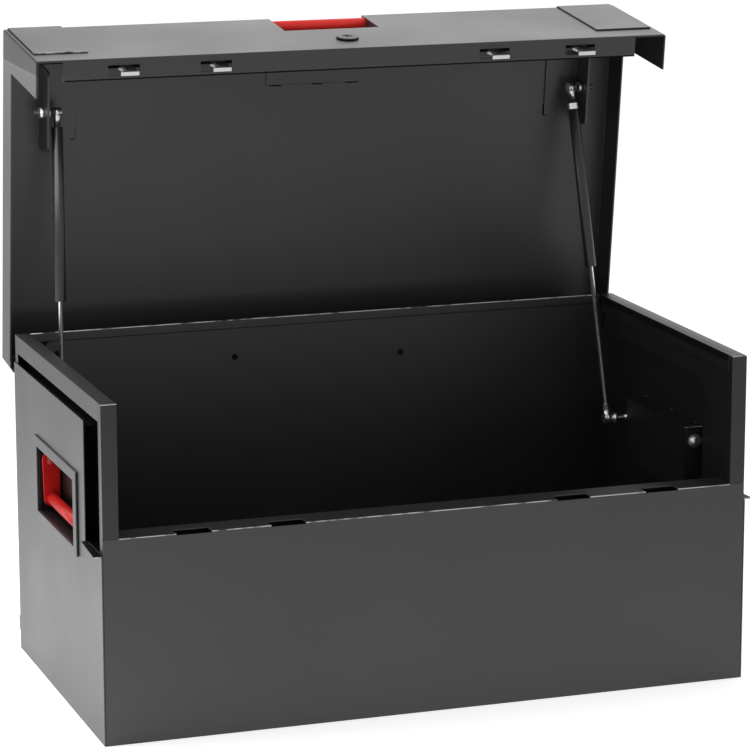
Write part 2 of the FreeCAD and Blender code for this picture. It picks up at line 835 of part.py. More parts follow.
def body_ball_stud():
    """Right lower stud on the side wall: long threaded stem, two nuts and the ball's outer end."""
    foot = strut_foot()
    face = half_width - sheet
    tip = foot.x + socket_half_length + foot_stud_gap
    middle = tip + ball_radius / 2
    ball = Part.makeSphere(ball_radius, V(middle, foot.y, foot.z))
    beyond = block((tip - 2 * ball_radius, tip), (foot.y - ball_radius, foot.y + ball_radius),
                   (foot.z - ball_radius, foot.z + ball_radius))
    pieces = [ball.cut(beyond),
              rod(stud_thread_radius, V(middle, foot.y, foot.z), V(face, foot.y, foot.z)),
              hexagon_x(nut_flats, middle, middle + collar_thickness, foot.y, foot.z),
              hexagon_x(nut_flats, face - collar_thickness, face, foot.y, foot.z)]
    return joined(pieces)


def build_body():
    save("front_panel", front_panel())
    save("rear_wall", rear_wall())
    save("floor_pan", floor_pan())
    save("rear_lugs", rear_lugs())
    save_pair("front_post", front_post())
    save_pair("side_wall", side_wall())
    save_pair("side_panel", side_panel())
    save_pair("rest_ledge", rest_ledge())
    save_pair("handle_pocket", handle_pocket())
    save_pair("pocket_frame", pocket_frame())
    save_pair("handle_bolts", handle_bolts())
    save_pair("body_ball_stud", body_ball_stud())
    save("hinge_body_leaf", hinge_body_leaf())
    save("hinge_pin", hinge_pin())


def build_handles():
    save_pair("handle_arms", handle_arms())
    save_pair("handle_grip", handle_grip())


def build_lid():
    closed = {"lid_shell": lid_shell(),
              "left_lid_end_plate": end_plate(-1, left_end_plate_width),
              "right_lid_end_plate": end_plate(1, right_end_plate_width),
              "lid_handle_tray": handle_tray(),
              "lid_handle_grip": lid_grip(),
              "hinge_lid_leaf": hinge_lid_leaf(),
              "lock_housing": lock_housing(),
              "lock_plug": lock_plug(),
              "lock_cam": lock_cam(),
              "hook_bar": hook_bar(),
              "lock_hooks": lock_hooks(),
              "hook_bar_guides": hook_bar_guides(),
              "right_strut_bracket": strut_bracket(),
              "left_strut_bracket": mirrored(strut_bracket()),
              "right_lid_ball_stud": lid_ball_stud(),
              "left_lid_ball_stud": mirrored(lid_ball_stud())}
    for name, shape in closed.items():
        save(name, swung_open(shape))


def build_struts():
    save_pair("strut_top_socket", strut_top_socket())
    save_pair("strut_cylinder", strut_cylinder())
    save_pair("strut_rod", strut_rod())
    save_pair("strut_foot_socket", strut_foot_socket())


os.makedirs("parts", exist_ok=True)
build_body()
build_handles()
build_lid()
build_struts()
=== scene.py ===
import json
import math

import bmesh
import bpy
from mathutils import Matrix, Vector


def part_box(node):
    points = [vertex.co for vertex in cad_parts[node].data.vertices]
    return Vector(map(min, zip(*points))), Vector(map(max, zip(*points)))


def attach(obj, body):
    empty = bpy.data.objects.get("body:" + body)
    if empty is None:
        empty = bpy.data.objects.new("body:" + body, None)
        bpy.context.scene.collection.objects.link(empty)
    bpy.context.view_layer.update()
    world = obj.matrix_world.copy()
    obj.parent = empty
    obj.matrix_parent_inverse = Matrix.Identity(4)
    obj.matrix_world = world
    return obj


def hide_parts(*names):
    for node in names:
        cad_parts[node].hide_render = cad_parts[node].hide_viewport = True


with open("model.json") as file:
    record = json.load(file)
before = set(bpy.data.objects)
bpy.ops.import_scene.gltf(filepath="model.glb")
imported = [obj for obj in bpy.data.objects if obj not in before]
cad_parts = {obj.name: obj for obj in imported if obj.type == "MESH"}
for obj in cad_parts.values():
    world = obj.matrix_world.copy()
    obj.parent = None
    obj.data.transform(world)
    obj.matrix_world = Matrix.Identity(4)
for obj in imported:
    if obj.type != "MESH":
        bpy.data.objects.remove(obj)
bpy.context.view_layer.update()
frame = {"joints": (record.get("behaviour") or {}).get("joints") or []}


# --- Floor pan and rear wall --------------------------------------------------
# The tub is 2 mm steel sheet, laser cut, folded on a brake and spot welded.
# After welding it is powder coated in charcoal: satin, with a fine orange peel.
# Boxes are pairs of corners in millimetres; other lengths are in metres.
COAT_COLOUR = (0.0045, 0.0045, 0.0048, 1.0)
COAT_DUSTY = (0.0085, 0.0085, 0.0088, 1.0)
COAT_IOR = 1.65
# A lower IOR, so that copies of the coat reflect less: painted shade.
SHADE_IOR = 1.5
COAT_GRAIN_SCALE, COAT_GRAIN_DETAIL = 900.0, 4.0
COAT_PEEL_STRENGTH, COAT_PEEL_DEPTH = 0.12, 0.0002
COAT_CLOUD_SCALE, COAT_CLOUD_DETAIL = 7.0, 5.0
COAT_CLOUD_BOUNDS = (0.3, 0.7)
COAT_ROUGHNESS = (0.39, 0.45)
# Light steel colour where wear has taken the coat off rims and edges; these light edges also stand
# as a painted highlight.
WORN_STEEL_AND_GLINT = (0.42, 0.43, 0.42, 1.0)
WEAR_AND_GLINT_SCALE, WEAR_AND_GLINT_DETAIL = 45.0, 3.0
WEAR_AND_GLINT_BOUNDS = (0.36, 0.52)
SHADE_COLOUR = (0.0015, 0.0015, 0.0015, 1.0)
PLAIN_SHINE, SHADE_SHINE = 0.5, 0.05
DIM_SHARE = 0.6
FOLD_RADIUS = 0.0007
FOLD_SEGMENTS = 2
FOLD_ANGLE = math.radians(40)
FLAT_ANGLE = math.radians(0.5)
JOIN_REACH = 0.00001
FACE_WEIGHT = 100
REAR_RIM = ((-412, 218.4, 433.2), (400, 220.2, 435))


def metres(*corners):
    """Points given in millimetres, in metres."""
    return tuple(Vector(corner) / 1000 for corner in corners)


def feed(tree, socket, value):
    """Link an output to a socket, or set a constant on it."""
    if isinstance(value, bpy.types.NodeSocket):
        tree.links.new(value, socket)
    else:
        socket.default_value = value


def maths(tree, operation, first, second):
    """The output of an operation on two outputs or constants."""
    node = tree.nodes.new("ShaderNodeMath")
    node.operation = operation
    feed(tree, node.inputs[0], first)
    feed(tree, node.inputs[1], second)
    return node.outputs["Value"]


def vector_maths(tree, operation, vector, other=None):
    """A node that works on a vector output and, for some operations, a constant."""
    node = tree.nodes.new("ShaderNodeVectorMath")
    node.operation = operation
    tree.links.new(vector, node.inputs[0])
    if other is not None:
        node.inputs[1].default_value = other
    return node


def noise(tree, place, scale, detail):
    """The output of a noise texture."""
    node = tree.nodes.new("ShaderNodeTexNoise")
    node.inputs["Scale"].default_value = scale
    node.inputs["Detail"].default_value = detail
    tree.links.new(place, node.inputs["Vector"])
    return node.outputs["Fac"]


def mapped(tree, value, results, bounds=(0.0, 1.0), curve="LINEAR"):
    """An output that carries a value between two bounds onto two results."""
    node = tree.nodes.new("ShaderNodeMapRange")
    node.interpolation_type = curve
    node.inputs["From Min"].default_value, node.inputs["From Max"].default_value = bounds
    node.inputs["To Min"].default_value, node.inputs["To Max"].default_value = results
    tree.links.new(value, node.inputs["Value"])
    return node.outputs["Result"]


def blended(tree, factor, colour, other):
    """A colour output that passes from one colour to another by the factor."""
    node = tree.nodes.new("ShaderNodeMix")
    node.data_type = "RGBA"
    feed(tree, node.inputs["Factor"], factor)
    feed(tree, node.inputs["A"], colour)
    feed(tree, node.inputs["B"], other)
    return node.outputs["Result"]


def bumped(tree, height, strength, depth):
    """The output of a bump node over a height."""
    node = tree.nodes.new("ShaderNodeBump")
    node.inputs["Strength"].default_value = strength
    node.inputs["Distance"].default_value = depth
    tree.links.new(height, node.inputs["Height"])
    return node.outputs["Normal"]


def inside_any(tree, place, boxes):
    """An output that is 1 inside any of the boxes, given in metres, and 0 outside them."""
    covered = None
    for corner, opposite in boxes:
        half = Vector([abs(length) / 2 for length in opposite - corner])
        centred = vector_maths(tree, "SUBTRACT", place, (corner + opposite) / 2)
        scaled = vector_maths(tree, "DIVIDE", centred.outputs["Vector"], half)
        distance = vector_maths(tree, "ABSOLUTE", scaled.outputs["Vector"])
        axes = tree.nodes.new("ShaderNodeSeparateXYZ")
        tree.links.new(distance.outputs["Vector"], axes.inputs["Vector"])
        furthest = maths(tree, "MAXIMUM", axes.outputs["X"], axes.outputs["Y"])
        furthest = maths(tree, "MAXIMUM", furthest, axes.outputs["Z"])
        within = maths(tree, "LESS_THAN", furthest, 1.0)
        covered = within if covered is None else maths(tree, "MAXIMUM", covered, within)
    return covered


def start_material(name):
    """A new material, its tree, its shader and the coordinates of the object."""
    material = bpy.data.materials.new(name)
    material.use_nodes = True
    tree = material.node_tree
    place = tree.nodes.new("ShaderNodeTexCoord").outputs["Object"]
    return material, tree, tree.nodes["Principled BSDF"], place


def powder_coat(name, ior=COAT_IOR, worn_and_glinting=(), shaded=(), dimmed=(), shade_black=False):
    """Charcoal powder coat, finely grained. It can be painted shade near black all over; in given
    boxes it takes painted shade, full and partial, and light steel colour where wear has taken the
    coat off, which also stands as a painted highlight.
    """
    material, tree, shader, place = start_material(name)
    shader.inputs["IOR"].default_value = ior
    speckle = noise(tree, place, COAT_GRAIN_SCALE, COAT_GRAIN_DETAIL)
    cloud = noise(tree, place, COAT_CLOUD_SCALE, COAT_CLOUD_DETAIL)
    colour = SHADE_COLOUR if shade_black else blended(tree, speckle, COAT_COLOUR, COAT_DUSTY)
    shine = SHADE_SHINE if shade_black else PLAIN_SHINE
    # Painted shade: near black colour and little shine in the shaded boxes, part of the way in the
    # dimmed ones.
    depths = [inside_any(tree, place, shaded)] if shaded else []
    if dimmed:
        depths.append(maths(tree, "MULTIPLY", inside_any(tree, place, dimmed), DIM_SHARE))
    if depths:
        recess = depths[0] if len(depths) == 1 else maths(tree, "MAXIMUM", *depths)
        colour = blended(tree, recess, colour, SHADE_COLOUR)
        shine = mapped(tree, recess, (PLAIN_SHINE, SHADE_SHINE))
    # Light steel patches where wear has taken the coat off, which also stand as a painted
    # highlight.
    if worn_and_glinting:
        rub_and_glint = noise(tree, place, WEAR_AND_GLINT_SCALE, WEAR_AND_GLINT_DETAIL)
        patchy = mapped(tree, rub_and_glint, (0.0, 1.0), WEAR_AND_GLINT_BOUNDS)
        bright_share = maths(tree, "MULTIPLY", inside_any(tree, place, worn_and_glinting), patchy)
        colour = blended(tree, bright_share, colour, WORN_STEEL_AND_GLINT)
    feed(tree, shader.inputs["Base Color"], colour)
    feed(tree, shader.inputs["Specular IOR Level"], shine)
    feed(tree, shader.inputs["Roughness"], mapped(tree, cloud, COAT_ROUGHNESS, COAT_CLOUD_BOUNDS))
    feed(tree, shader.inputs["Normal"],
         bumped(tree, speckle, COAT_PEEL_STRENGTH, COAT_PEEL_DEPTH))
    return material


def smooth(piece):
    """Smooth shading on every face."""
    piece.data.polygons.foreach_set("use_smooth", [True] * len(piece.data.polygons))


def shine_evenly(piece):
    """Smooth shading that leaves the large flat faces flat."""
    smooth(piece)
    even = piece.modifiers.new("even faces", "WEIGHTED_NORMAL")
    even.mode = "FACE_AREA"
    even.weight = FACE_WEIGHT


def finish_node(node, material, fold=FOLD_RADIUS, segments=FOLD_SEGMENTS):
    """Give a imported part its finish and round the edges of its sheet."""
    part = bpy.data.objects[node]
    part.data.materials.clear()
    part.data.materials.append(material)
    joined = part.modifiers.new("joined faces", "WELD")
    joined.merge_threshold = JOIN_REACH
    flat = part.modifiers.new("flat faces", "DECIMATE")
    flat.decimate_type = "DISSOLVE"
    flat.angle_limit = FLAT_ANGLE
    if fold:
        edge = part.modifiers.new("rounded edges", "BEVEL")
        edge.width = fold
        edge.segments = segments
        edge.limit_method = "ANGLE"
        edge.angle_limit = FOLD_ANGLE
        edge.harden_normals = True
    shine_evenly(part)


coat = powder_coat("charcoal powder coat")
# The rear wall's coat is a copy that reflects less, as painted shade; its top rim has light steel
# colour where wear has taken the coat off, which also stands as a painted highlight.
dull_and_shaded_coat = powder_coat("dull powder coat, painted shade inside", ior=SHADE_IOR, worn_and_glinting=[metres(*REAR_RIM)])
finish_node("floor_pan", coat)
finish_node("rear_lugs", coat)
finish_node("rear_wall", dull_and_shaded_coat)


# --- Front panel and posts ----------------------------------------------------
# The front panel is folded over at its top. A narrow folded post stands at each
# end of it and is welded to the side. Wear has taken the coat off the rims; the light
# rims also stand as a painted highlight. The posts' coat is a copy that reflects
# less, as painted shade.
SIDES = (("left", -1), ("right", 1))
FRONT_RIM = ((-410, -223.6, 263.5), (410, -221.4, 265.5))
POST_TOPS = ((-431, -223.6, 433.2), (431, -221.4, 435))
rim_coat = powder_coat("charcoal powder coat on rims", worn_and_glinting=[metres(*FRONT_RIM)])
post_coat = powder_coat("powder coat on posts, painted shade", ior=SHADE_IOR, worn_and_glinting=[metres(*POST_TOPS)])
finish_node("front_panel", rim_coat)
for side, _ in SIDES:
    finish_node(side + "_front_post", post_coat)


# --- Side walls and panels ----------------------------------------------------
# Each side is double: an inner wall with a folded rail along its top, and an outer
# panel spot welded to it. The groove between them is painted near black with little
# shine, as painted shade; the inner half of the right rail's top is painted part of
# the way dark, as painted shade. The walls' coat is a copy that reflects less, as
# painted shade.
RAIL_TOP = ((408, -208, 423.8), (421, 226, 434.5))
GROOVE_BACK = ((415.6, -208.6, 0), (417.4, 209, 410.4))
GROOVE_ROOF = ((417.4, -208.6, 385.6), (430.2, 208.6, 410.4))
GROOVE_FRONT = ((417.4, -208.6, 0), (430.2, -125.4, 410.4))


def both_sides(*boxes):
    """Boxes of the right side and their mirror images on the left, in metres."""
    return [metres(*[(sign * x, y, z) for x, y, z in box]) for box in boxes for _, sign in SIDES]


wall_shade_coat = powder_coat("powder coat on side walls, with painted shade", ior=SHADE_IOR,
                        shaded=both_sides(GROOVE_BACK, GROOVE_ROOF, GROOVE_FRONT),
                        dimmed=[metres(*RAIL_TOP)])
for side, _ in SIDES:
    finish_node(side + "_side_wall", wall_shade_coat)
    finish_node(side + "_side_panel", coat)


# --- Handle pockets and ledges ------------------------------------------------
# A folded steel pocket is let into each side, with a flat frame plate around its
# mouth. A small ledge closes the foot of the groove. Both are welded in. Inside the
# pockets the coat is painted part of the way dark and reflects less, as painted
# shade; the ledges' tops are painted near black, as painted shade. Wear has taken
# the coat off the right pocket's lip and the ledges' front edges, and these light
# edges also stand as a painted highlight.
POCKET_LIP = ((403, -96.6, 311.9), (427, -95.2, 313))
POCKET_INSIDE = ((402.5, -94.6, 224), (431, 94.6, 311))
LEDGE_TOP = ((430, -222.1, 243), (443, -100, 245))
LEDGE_EDGE = ((430, -223.6, 241.5), (443, -222.2, 244.5))
pocket_coat = powder_coat("powder coat in pockets, with painted shade", ior=SHADE_IOR, worn_and_glinting=[metres(*POCKET_LIP)],
                          dimmed=both_sides(POCKET_INSIDE))
ledge_coat = powder_coat("powder coat on ledges, with painted shade", shaded=both_sides(LEDGE_TOP),
                         worn_and_glinting=both_sides(LEDGE_EDGE))
for side, _ in SIDES:
    finish_node(side + "_handle_pocket", pocket_coat)
    finish_node(side + "_pocket_frame", coat)
    finish_node(side + "_rest_ledge", ledge_coat)


# --- Rail covers --------------------------------------------------------------
# A narrow strip of coated steel, welded in, closes the gap between the inner lip of
# each side rail and the back of the groove, so the inner walls look plain.
COVER_BOX = ((410.15, -210, 410.5), (411.85, 210, 424.2))
SMALL_EDGE = 0.0003


def soften(outline, edges, width, segments=2):
    """Round some edges of a bmesh."""
    bmesh.ops.bevel(outline, geom=edges, offset=width, segments=segments, profile=0.5,
                    affect="EDGES", material=-1)


def add_piece(name, outline, body, material):
    """Make an object from a bmesh, give it its finish and let it ride on a body."""
    bmesh.ops.recalc_face_normals(outline, faces=outline.faces)
    mesh = bpy.data.meshes.new(name)
    outline.to_mesh(mesh)
    outline.free()
    mesh.materials.append(material)
    piece = bpy.data.objects.new(name, mesh)
    bpy.context.scene.collection.objects.link(piece)
    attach(piece, body)
    return piece


for side, sign in SIDES:
    low, high = metres(*COVER_BOX)
    middle = (low + high) / 2
    strip = bmesh.new()
    bmesh.ops.create_cube(strip, size=1.0,
                          matrix=Matrix.Translation((sign * middle.x, middle.y, middle.z))
                          @ Matrix.Diagonal((*(high - low), 1.0)))
    soften(strip, strip.edges[:], SMALL_EDGE)
    add_piece(side + "_rail_cover", strip, "body", dull_and_shaded_coat)


# --- Welds and spot marks -----------------------------------------------------
# Short runs of weld puddles hold the pockets and the corner; the rear wall shows
# the shallow marks of its spot welds, painted near black as painted shade. Places
# are in millimetres.
POCKET_WELD_STARTS = (88, 2, -76)
POCKET_WELD_LENGTH = 6
POCKET_WELD_LINE = (428.2, 312.6)
POCKET_WELD_WIDTH = 0.0024
CORNER_WELD = ((428.3, 220.3, 376), (428.3, 220.3, 409))
CORNER_WELD_WIDTH = 0.0018
PUDDLE_STEP = 0.55
PUDDLE_SUBDIVISIONS = 2
SPOT_MARKS = ((-126, 382), (113, 372), (-391, 421), (-374, 404))
SPOT_WALL = 220.5
SPOT_RADIUS = 0.0045
SPOT_FLATNESS = 0.03
SPOT_SEGMENTS, SPOT_RINGS = 24, 12
# Near black with little shine all over: painted shade on the lid's weld beads and the rear wall's
# spot marks.
weld_shade_coat = powder_coat("burnt coat at welds", shade_black=True)


def weld_bead(name, runs, width, body, material=coat):
    """Runs of overlapping weld puddles, each along its line of points in metres."""
    bead = bmesh.new()
    for run in runs:
        for start, end in zip(run, run[1:]):
            steps = max(1, round((end - start).length / (PUDDLE_STEP * width)))
            for step in range(steps + 1):
                puddle = Matrix.Translation(start.lerp(end, step / steps))
                bmesh.ops.create_icosphere(bead, subdivisions=PUDDLE_SUBDIVISIONS,
                                           radius=width / 2, matrix=puddle)
    smooth(add_piece(name, bead, body, material))


for side, sign in SIDES:
    across, height = POCKET_WELD_LINE
    runs = [metres((sign * across, start, height),
                   (sign * across, start + POCKET_WELD_LENGTH, height))
            for start in POCKET_WELD_STARTS]
    weld_bead(side + "_pocket_welds", runs, POCKET_WELD_WIDTH, "body")
    corner_run = metres(*[(sign * x, y, z) for x, y, z in CORNER_WELD])
    weld_bead(side + "_corner_weld", [corner_run], CORNER_WELD_WIDTH, "body")
spots = bmesh.new()
for across, height in SPOT_MARKS:
    centre, = metres((across, SPOT_WALL, height))
    bmesh.ops.create_uvsphere(spots, u_segments=SPOT_SEGMENTS, v_segments=SPOT_RINGS,
                              radius=SPOT_RADIUS, matrix=Matrix.Translation(centre)
                              @ Matrix.Diagonal((1.0, SPOT_FLATNESS, 1.0, 1.0)))
smooth(add_piece("rear_spot_marks", spots, "body", weld_shade_coat))


# --- Side handles -------------------------------------------------------------
# Each drop handle is two flat arms welded to a steel tube, sprayed red. It hangs
# in its pocket on two bolts. The arms narrow a little towards the tube.
# The side handles' red is a darker copy of the lid grip's red: painted shade. The bolt heads take
# its deep tone.
HANDLE_RED_SHADED = (0.46, 0.010, 0.008, 1.0)
HANDLE_RED_SHADED_DEEP = (0.32, 0.006, 0.005, 1.0)
RED_SHINE = 0.22
RED_ROUGHNESS = 0.38
RED_CLOUD_SCALE, RED_CLOUD_DETAIL = 60.0, 6.0
RED_PEEL_STRENGTH, RED_PEEL_DEPTH = 0.1, 0.0003
ARM_DROP = 0.0525
ARM_TOP_SHIFT = 0.0007
ARM_TOP_RADIUS = 0.012
ARM_FOOT_RADIUS = 0.011
ARM_THICKNESS = 0.003
ARM_EDGE = 0.0009
ARM_EDGE_SEGMENTS = 3
HALF_ROUND_STEPS = 24
RIM_ANGLE = 1.0
GRIP_INTO_ARMS = 0.0006
GRIP_SEGMENTS = 64
LYING = Matrix.Rotation(math.radians(90), 4, "X")


def red_enamel(name, bright=HANDLE_RED_SHADED, deep=HANDLE_RED_SHADED_DEEP):
    """Red paint with slightly uneven depth and a soft shine."""
    material, tree, shader, place = start_material(name)
    shader.inputs["Roughness"].default_value = RED_ROUGHNESS
    shader.inputs["Specular IOR Level"].default_value = RED_SHINE
    depth = noise(tree, place, RED_CLOUD_SCALE, RED_CLOUD_DETAIL)
    feed(tree, shader.inputs["Base Color"], blended(tree, depth, bright, deep))
    feed(tree, shader.inputs["Normal"], bumped(tree, depth, RED_PEEL_STRENGTH, RED_PEEL_DEPTH))
    return material


def half_round(outline, centre, radius):
    """Sweep a vertex half a turn about a line along Y, from one side; give both its ends."""
    first = outline.verts.new(centre + Vector((radius, 0, 0)))
    swept = bmesh.ops.spin(outline, geom=[first], cent=centre, axis=(0, 1, 0), dvec=(0, 0, 0),
                           angle=-math.pi, steps=HALF_ROUND_STEPS)
    last = next(item for item in swept["geom_last"] if isinstance(item, bmesh.types.BMVert))
    return first, last


def thicken(outline, faces, step):
    """Extrude flat faces of a bmesh into plates."""
    raised = bmesh.ops.extrude_face_region(outline, geom=faces)
    moved = [item for item in raised["geom"] if isinstance(item, bmesh.types.BMVert)]
    bmesh.ops.translate(outline, verts=moved, vec=step)


def add_cylinder(outline, place, turn, radius, depth, segments):
    """Add a closed cylinder to a bmesh, around its middle."""
    bmesh.ops.create_cone(outline, cap_ends=True, segments=segments, radius1=radius,
                          radius2=radius, depth=depth, matrix=Matrix.Translation(place) @ turn)


red = red_enamel("red enamel")
for side, sign in SIDES:
    arm_low, arm_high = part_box(side + "_handle_arms")
    pivot_x = (arm_low.x + arm_high.x) / 2
    pivot_z = arm_high.z - (arm_high.x - arm_low.x) / 2
    arms = bmesh.new()
    for start in (arm_low.y, arm_high.y - ARM_THICKNESS):
        bolt = Vector((pivot_x + sign * ARM_TOP_SHIFT, start, pivot_z))
        foot = Vector((pivot_x, start, pivot_z - ARM_DROP))
        top_right, top_left = half_round(arms, bolt, ARM_TOP_RADIUS)
        foot_left, foot_right = half_round(arms, foot, -ARM_FOOT_RADIUS)
        arms.edges.new((top_left, foot_left))
        arms.edges.new((foot_right, top_right))
        loop = [edge for edge in arms.edges if not edge.link_faces]
        thicken(arms, bmesh.ops.edgeloop_fill(arms, edges=loop)["faces"], (0, ARM_THICKNESS, 0))
    rims = [edge for edge in arms.edges if edge.calc_face_angle(0) > RIM_ANGLE]
    soften(arms, rims, ARM_EDGE, ARM_EDGE_SEGMENTS)
    drop_arms = add_piece(side + "_drop_arms", arms, side + "_handle", red)
    shine_evenly(drop_arms)
    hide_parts(side + "_handle_arms")

    grip_low, grip_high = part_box(side + "_handle_grip")
    tube = bmesh.new()
    add_cylinder(tube, (pivot_x, 0, pivot_z - ARM_DROP), LYING, (grip_high.z - grip_low.z) / 2,
                 grip_high.y - grip_low.y + GRIP_INTO_ARMS, GRIP_SEGMENTS)
    drop_grip = add_piece(side + "_drop_grip", tube, side + "_handle", red)
    shine_evenly(drop_grip)
    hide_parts(side + "_handle_grip")


# --- Bolts, studs, hooks and hinge pin ----------------------------------------
# Bought-in steel fittings with bright zinc plating. The heads of the handle bolts
# were sprayed red with the handles.
ZINC = (0.62, 0.63, 0.64, 1.0)
ZINC_PALE = (0.78, 0.79, 0.80, 1.0)
ZINC_CLOUD_SCALE, ZINC_CLOUD_DETAIL = 180.0, 5.0
ZINC_ROUGHNESS = (0.22, 0.42)
BOLT_HEADS = ((-440, -93, 200), (440, 93, 330))
WASHER_PLACE = (416.5, 96.9, 293)
WASHER_RADIUS = 0.0095
WASHER_THICKNESS = 0.0016
WASHER_SEGMENTS = 40


def zinc_plate(name, painted=()):
    """Bright zinc plating with the fine streaks of rolled steel; in some boxes red."""
    material, tree, shader, place = start_material(name)
    cloud = noise(tree, place, ZINC_CLOUD_SCALE, ZINC_CLOUD_DETAIL)
    colour = blended(tree, cloud, ZINC, ZINC_PALE)
    bright_share = 1.0
    if painted:
        covered = inside_any(tree, place, painted)
        colour = blended(tree, covered, colour, HANDLE_RED_SHADED_DEEP)
        bright_share = maths(tree, "SUBTRACT", 1.0, covered)
    feed(tree, shader.inputs["Metallic"], bright_share)
    feed(tree, shader.inputs["Base Color"], colour)
    feed(tree, shader.inputs["Roughness"], mapped(tree, cloud, ZINC_ROUGHNESS))
    return material


zinc = zinc_plate("bright zinc plate")
bolt_zinc = zinc_plate("zinc bolts with sprayed heads", painted=[metres(*BOLT_HEADS)])
for side, _ in SIDES:
    finish_node(side + "_handle_bolts", bolt_zinc, fold=0)
    for piece in ("body_ball_stud", "lid_ball_stud", "strut_top_socket", "strut_foot_socket"):
        finish_node(side + "_" + piece, zinc, fold=0)
for piece in ("hinge_pin", "lock_hooks", "lock_cam"):
    finish_node(piece, zinc, fold=SMALL_EDGE)
finish_node("hook_bar", coat, fold=SMALL_EDGE)
washers = bmesh.new()
for _, sign in SIDES:
    for end in (-1, 1):
        across, along, height = WASHER_PLACE
        centre, = metres((sign * across, end * along, height))
        add_cylinder(washers, centre, LYING, WASHER_RADIUS, WASHER_THICKNESS, WASHER_SEGMENTS)
add_piece("handle_washers", washers, "body", zinc)


# --- Hinge --------------------------------------------------------------------
# A steel piano hinge runs along the rear wall and holds the lid over its whole
# width. Both leaves are coated with the box.
for piece in ("hinge_body_leaf", "hinge_lid_leaf"):
    finish_node(piece, coat, fold=0)


# --- Lid ----------------------------------------------------------------------
# The lid is one folded sheet with two end plates over its front corners, coated
# like the tub. A thin black line along the back edge of its return flange is a
# painted shadow, and the left end plate's lower edges carry light steel colour as a
# painted highlight. Its hand recess is a folded tray welded inside, with a red grip
# painted lighter than the side handles, as painted light; the weld beads inside are
# painted near black, as painted shade.
# Places are those of the closed lid, in millimetres.
FLANGE_SHADOW_EDGE = (0, -201, 265.5)
FLANGE_SHADOW_REACH = Vector((0.396, 0.0016, 0.0011))
PLATE_HIGHLIGHT_EDGE = (-391, -229.2, 303)
PLATE_HIGHLIGHT_REACH = Vector((0.037, 0.0020, 0.0018))
PLATE_FOLD = 0.0009
PLATE_SEGMENTS = 3
UNDER_LID = 444.6
TRAY_WELDS = (((-69, -151), (-68, -138.5), (-63, -136.4), (-50, -136.4)),
              ((-4, -136.4), (8, -136.4)),
              ((44, -136.4), (57, -136.4), (62, -138.5), (63, -149)))
TRAY_WELD_WIDTH = 0.0030
BRACKET_WELD = ((336, -90), (336, -77), (339.5, -75.8))
BRACKET_WELD_WIDTH = 0.0028
# The lid grip's red is a lighter copy of the side handles' red: painted light.
LID_RED_LIT = (0.98, 0.045, 0.035, 1.0)
LID_RED_LIT_DEEP = (0.88, 0.032, 0.025, 1.0)


def on_lid(x, y, z):
    """A point of the closed lid, in millimetres, where the opened lid has it, in metres."""
    hinge = next(joint for joint in frame["joints"] if joint["name"] == "lid_hinge")
    opening = max(abs(angle) for angle in hinge["range_deg"])
    low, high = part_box("hinge_pin")
    pin = Vector((0.0, (low.y + high.y) / 2, (low.z + high.z) / 2))
    return pin + Matrix.Rotation(-math.radians(opening), 3, "X") @ (Vector((x, y, z)) / 1000 - pin)


def around(centre, reach):
    """The box that reaches so far to each side of a point, in metres."""
    return centre - reach, centre + reach


lid_shadow_line_coat = powder_coat("charcoal powder coat on the lid, with a painted shadow line",
                       shaded=[around(on_lid(*FLANGE_SHADOW_EDGE), FLANGE_SHADOW_REACH)])
# Light steel colour along the left end plate's lower edges: a painted highlight.
plate_highlight_coat = powder_coat("charcoal powder coat on the left end plate",
                         worn_and_glinting=[around(on_lid(*PLATE_HIGHLIGHT_EDGE), PLATE_HIGHLIGHT_REACH)])
finish_node("lid_shell", lid_shadow_line_coat)
finish_node("left_lid_end_plate", plate_highlight_coat, fold=PLATE_FOLD, segments=PLATE_SEGMENTS)
finish_node("right_lid_end_plate", coat, fold=PLATE_FOLD, segments=PLATE_SEGMENTS)
finish_node("lid_handle_tray", coat)
finish_node("hook_bar_guides", coat)
tray_runs = [[on_lid(x, y, UNDER_LID) for x, y in run] for run in TRAY_WELDS]
weld_bead("tray_welds", tray_runs, TRAY_WELD_WIDTH, "lid", weld_shade_coat)
for side, sign in SIDES:
    finish_node(side + "_strut_bracket", coat)
    bracket_run = [on_lid(sign * x, y, UNDER_LID) for x, y in BRACKET_WELD]
    weld_bead(side + "_bracket_weld", [bracket_run], BRACKET_WELD_WIDTH, "lid", weld_shade_coat)
finish_node("lid_handle_grip", red_enamel("red enamel on the lid, painted lighter", LID_RED_LIT, LID_RED_LIT_DEEP), fold=0)


# --- Lock ---------------------------------------------------------------------
# A turned steel escutcheon, blackened, with the key plug in its middle. Behind it
# the hooks' plated heels show at the lower edge of their bar.
HEEL_PLACES = (-311.5, -189, 194, 316.5)
HEEL_OUTLINE = ((-6.75, -208.8), (6.75, -208.8), (6.75, -206.4), (0, -203.2), (-6.75, -206.4))
HEEL_FOOT = 291.6
HEEL_THICKNESS = 4
for piece in ("lock_housing", "lock_plug"):
    finish_node(piece, dull_and_shaded_coat, fold=0)
heels = bmesh.new()
heel_step = on_lid(0, 0, HEEL_THICKNESS) - on_lid(0, 0, 0)
for place in HEEL_PLACES:
    corners = [heels.verts.new(on_lid(place + x, y, HEEL_FOOT)) for x, y in HEEL_OUTLINE]
    thicken(heels, [heels.faces.new(corners)], heel_step)
soften(heels, heels.edges[:], SMALL_EDGE)
add_piece("hook_heels", heels, "hook_slider", zinc)


